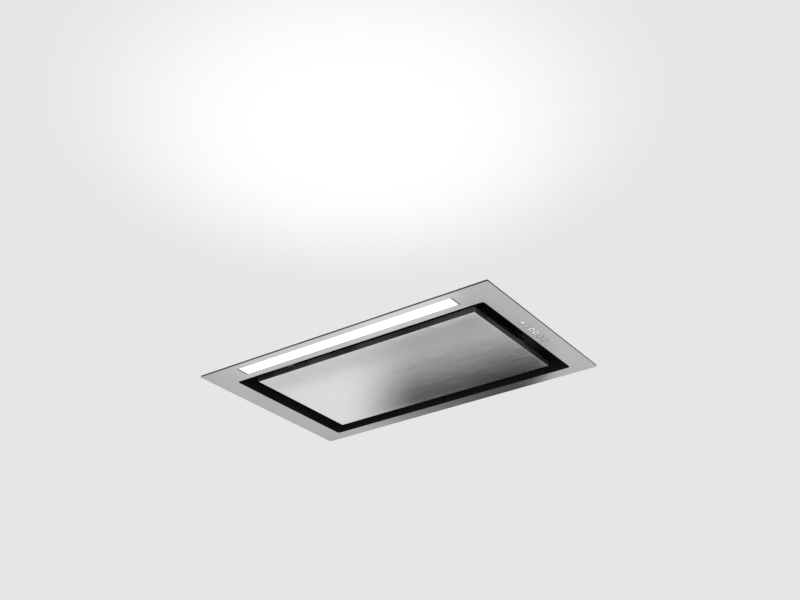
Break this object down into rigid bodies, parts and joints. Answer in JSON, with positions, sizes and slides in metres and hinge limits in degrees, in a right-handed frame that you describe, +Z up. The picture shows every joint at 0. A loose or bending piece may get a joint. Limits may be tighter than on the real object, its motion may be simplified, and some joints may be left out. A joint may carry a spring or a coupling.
{
  "type": "built-in range hood",
  "caption": "Flat cabinet-insert range hood: steel frame with a hinged suction panel, light strip and push-buttons, blower casing and round duct outlet above.",
  "frame": {"origin": "middle of the plane where the frame bears on the underside of the wall cabinet", "axes": "+X to the cook's right, -Y towards the cook, +Z up into the cabinet"},
  "size_m": [0.598, 0.3874, 0.307],
  "materials": {
    "steel": "fine brushed grain",
    "black_sheet": "matt black powder coat",
    "zinc_sheet": "galvanised sheet",
    "bolts": "bright zinc plate",
    "foam": "dark closed-cell foam",
    "opal": "opal white, lit from behind",
    "white_plastic": "white clear-centred light guide",
    "button": "dark grey, satin",
    "black_plastic": "black, fine grain",
    "grey_plastic": "light grey, fine grain",
    "white_board": "white lacquered board",
    "green_board": "green lacquered board",
    "chip": "yellow phosphor",
    "aluminium": "plain rolled",
    "magnet": "sintered ferrite"
  },
  "bodies": {
    "hood": {"bottom_frame": "steel", "inlet_tray": "black_sheet", "hinge_brackets": "bolts", "hinge_pins": "bolts", "cabinet_seal": "foam", "magnet_holders": "black_plastic", "panel_magnets": "magnet", "filter_frame": "aluminium", "filter_mesh": "aluminium", "led_diffuser": "opal", "led_housing": "zinc_sheet", "led_board": "white_board", "led_chips": "chip", "keypad_housing": "black_plastic", "keypad_board": "green_board", "key_switches": "black_plastic", "lower_casing": "zinc_sheet", "motor_casing": "zinc_sheet", "outlet_collar": "black_plastic", "flap_pin": "bolts", "scroll_left": "grey_plastic", "scroll_right": "grey_plastic", "motor_can": "zinc_sheet", "motor_spider": "zinc_sheet", "control_box": "black_plastic", "control_lid": "black_plastic", "control_board": "green_board", "board_parts": "black_plastic", "cable_gland": "black_plastic", "led_driver": "white_plastic", "run_capacitor": "aluminium", "capacitor_clip": "zinc_sheet"},
    "panel": {"suction_panel": "steel", "panel_backing": "black_sheet", "hinge_ears": "bolts"},
    "latch": {"filter_latch": "black_plastic"},
    "fan": {"impeller": "black_plastic", "motor_shaft": "bolts"},
    "flap_front": {"outlet_flap_front": "grey_plastic"},
    "flap_back": {"outlet_flap_back": "grey_plastic"},
    "light_button_body": {"light_button": "button"},
    "motor_button_body": {"motor_button": "button"},
    "low_speed_button_body": {"low_speed_button": "button"},
    "high_speed_button_body": {"high_speed_button": "button"},
    "boost_button_body": {"boost_button": "button"},
    "timer_button_body": {"timer_button": "button"}
  },
  "joints": [
    {"name": "panel_hinge", "type": "hinge", "parent": "hood", "child": "panel", "pos_m": [0, 0.126, 0.0208], "axis": [1, 0, 0], "range_deg": [0, 90]},
    {"name": "latch_slide", "type": "slide", "parent": "hood", "child": "latch", "axis": [0, 1, 0], "range_m": [0, 0.006], "stiffness_N_per_m": 300, "springref_m": -0.005},
    {"name": "fan_spin", "type": "hinge", "parent": "hood", "child": "fan", "pos_m": [0, -0.0532, 0.168], "axis": [1, 0, 0], "continuous": true},
    {"name": "flap_front_hinge", "type": "hinge", "parent": "hood", "child": "flap_front", "pos_m": [0, 0.0148, 0.27525], "axis": [-1, 0, 0], "range_deg": [0, 75]},
    {"name": "flap_back_hinge", "type": "hinge", "parent": "hood", "child": "flap_back", "pos_m": [0, 0.0148, 0.27525], "axis": [1, 0, 0], "range_deg": [0, 75]},
    {"name": "light_button_press", "type": "slide", "parent": "hood", "child": "light_button_body", "axis": [0, 0, 1], "range_m": [0, 0.0008], "stiffness_N_per_m": 800, "springref_m": -0.001},
    {"name": "motor_button_press", "type": "slide", "parent": "hood", "child": "motor_button_body", "axis": [0, 0, 1], "range_m": [0, 0.0008], "stiffness_N_per_m": 800, "springref_m": -0.001},
    {"name": "low_speed_button_press", "type": "slide", "parent": "hood", "child": "low_speed_button_body", "axis": [0, 0, 1], "range_m": [0, 0.0008], "stiffness_N_per_m": 800, "springref_m": -0.001},
    {"name": "high_speed_button_press", "type": "slide", "parent": "hood", "child": "high_speed_button_body", "axis": [0, 0, 1], "range_m": [0, 0.0008], "stiffness_N_per_m": 800, "springref_m": -0.001},
    {"name": "boost_button_press", "type": "slide", "parent": "hood", "child": "boost_button_body", "axis": [0, 0, 1], "range_m": [0, 0.0008], "stiffness_N_per_m": 800, "springref_m": -0.001},
    {"name": "timer_button_press", "type": "slide", "parent": "hood", "child": "timer_button_body", "axis": [0, 0, 1], "range_m": [0, 0.0008], "stiffness_N_per_m": 800, "springref_m": -0.001}
  ]
}
